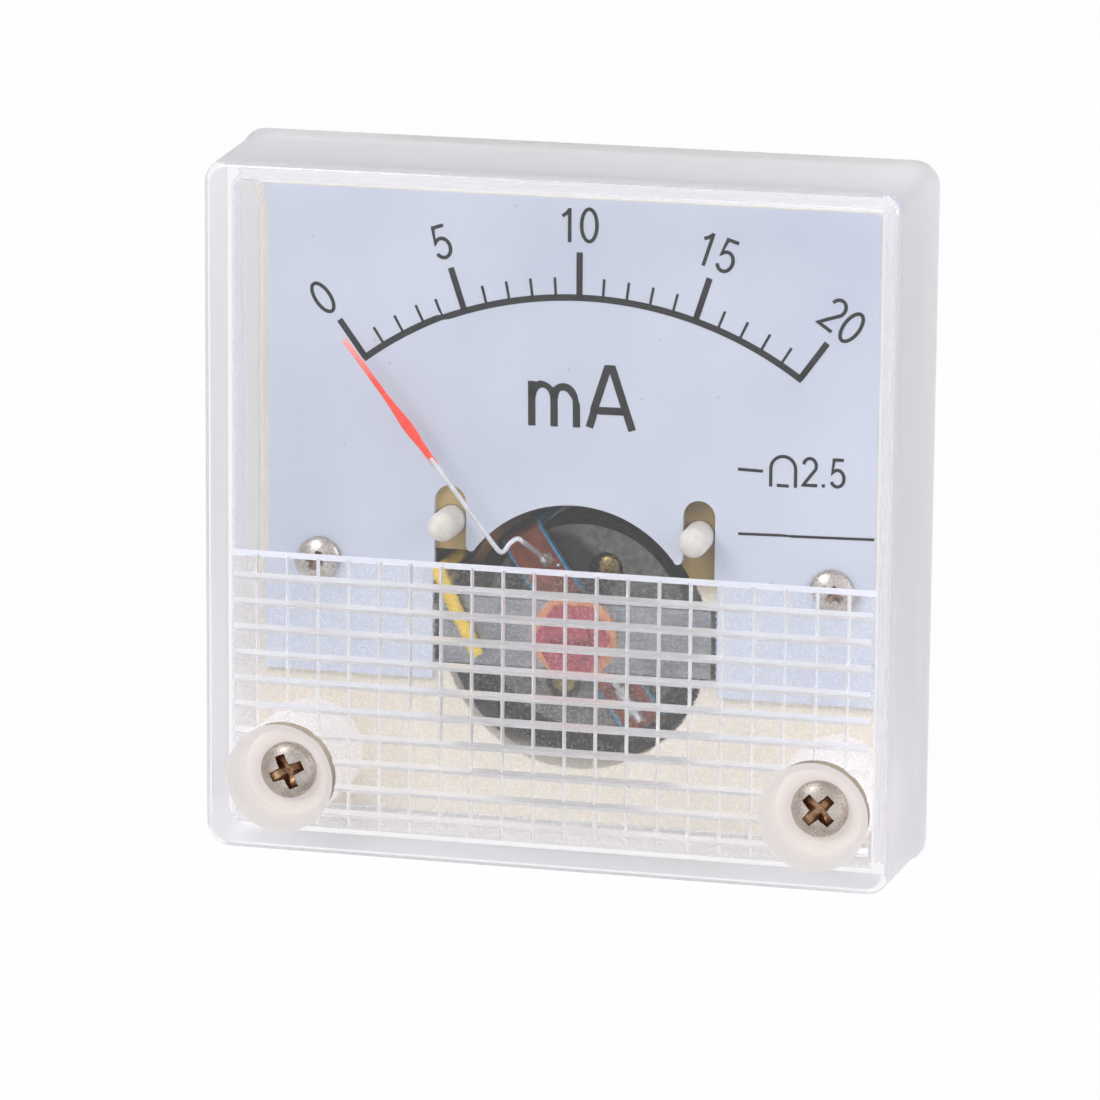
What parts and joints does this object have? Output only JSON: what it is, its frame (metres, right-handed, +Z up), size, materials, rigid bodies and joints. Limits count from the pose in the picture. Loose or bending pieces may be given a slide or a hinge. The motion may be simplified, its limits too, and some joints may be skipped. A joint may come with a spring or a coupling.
{
  "type": "analog panel meter",
  "caption": "Square moving-coil panel meter with a clear ribbed cover, a printed scale, a red pointer between stop posts and a round rear barrel with threaded terminals.",
  "frame": {"origin": "centre of the panel seat, the flange's rear face", "axes": "+Z is up, -Y is the way the dial faces, +Y runs along the barrel and the terminals"},
  "size_m": [0.045, 0.0365, 0.045],
  "materials": {
    "cover": "clear polished styrene, 0.3 tint",
    "mounting_screws": "nickel plated, satin",
    "mounting_washers": "zinc plated",
    "mounting_nuts": "zinc plated",
    "base_housing": "moulded, fine satin",
    "dial_plate": "matt white enamel with black print",
    "dial_screws": "nickel plated",
    "stop_posts": "turned nylon, satin",
    "yoke_ring": "blackened soft iron",
    "core_magnet": "sintered magnet, speckled",
    "core_carrier": "stamped",
    "core_rivets": "plain",
    "front_bridge": "stamped, matt",
    "rear_bridge": "stamped, matt",
    "movement_screws": "nickel plated",
    "jewel_screws": "turned",
    "jewel_nuts": "turned",
    "insulators": "red vulcanised fibre",
    "zero_lever": "phosphor bronze strip",
    "spring_anchor": "phosphor bronze strip",
    "front_hairspring": "phosphor bronze strip",
    "rear_hairspring": "phosphor bronze strip",
    "coil_former": "thin bare sheet",
    "coil_winding": "fine enamelled copper wire, varnished",
    "coil_edges": "thin blue tape",
    "pivot_staffs": "polished",
    "glue_bead": "hardened lacquer",
    "pointer_wire": "bare wire",
    "pointer_vane": "bright red lacquer",
    "balance_wire": "bare wire",
    "balance_weights": "tinned wire sleeves",
    "terminal_studs": "turned",
    "terminal_washers": "stamped",
    "terminal_nuts": "turned",
    "solder_tags": "tinned",
    "shunt_resistor": "lacquered body with tinned leads",
    "yellow_lead": "insulated wire",
    "red_lead": "insulated wire"
  },
  "bodies": {
    "case": {"cover": "cover", "mounting_screws": "mounting_screws", "mounting_washers": "mounting_washers", "mounting_nuts": "mounting_nuts", "base_housing": "base_housing", "dial_plate": "dial_plate", "dial_screws": "dial_screws", "stop_posts": "stop_posts", "yoke_ring": "yoke_ring", "core_magnet": "core_magnet", "core_carrier": "core_carrier", "core_rivets": "core_rivets", "front_bridge": "front_bridge", "rear_bridge": "rear_bridge", "movement_screws": "movement_screws", "jewel_screws": "jewel_screws", "jewel_nuts": "jewel_nuts", "insulators": "insulators", "spring_anchor": "spring_anchor", "rear_hairspring": "rear_hairspring", "terminal_studs": "terminal_studs", "terminal_washers": "terminal_washers", "terminal_nuts": "terminal_nuts", "solder_tags": "solder_tags", "shunt_resistor": "shunt_resistor", "yellow_lead": "yellow_lead", "red_lead": "red_lead"},
    "coil": {"coil_former": "coil_former", "coil_winding": "coil_winding", "coil_edges": "coil_edges", "pivot_staffs": "pivot_staffs", "glue_bead": "glue_bead", "pointer_wire": "pointer_wire", "pointer_vane": "pointer_vane", "balance_wire": "balance_wire", "balance_weights": "balance_weights"},
    "zero_lever": {"zero_lever": "zero_lever", "front_hairspring": "front_hairspring"}
  },
  "joints": [
    {"name": "coil_turn", "type": "hinge", "parent": "case", "child": "coil", "pos_m": [0, 0, -0.0088], "axis": [0, 1, 0], "range_deg": [-4, 80], "stiffness_Nm_per_rad": 0.00002, "deforming": ["front_hairspring", "rear_hairspring"]},
    {"name": "zero_adjust", "type": "hinge", "parent": "case", "child": "zero_lever", "pos_m": [0, 0, -0.0088], "axis": [0, 1, 0], "range_deg": [-10, 10]}
  ]
}
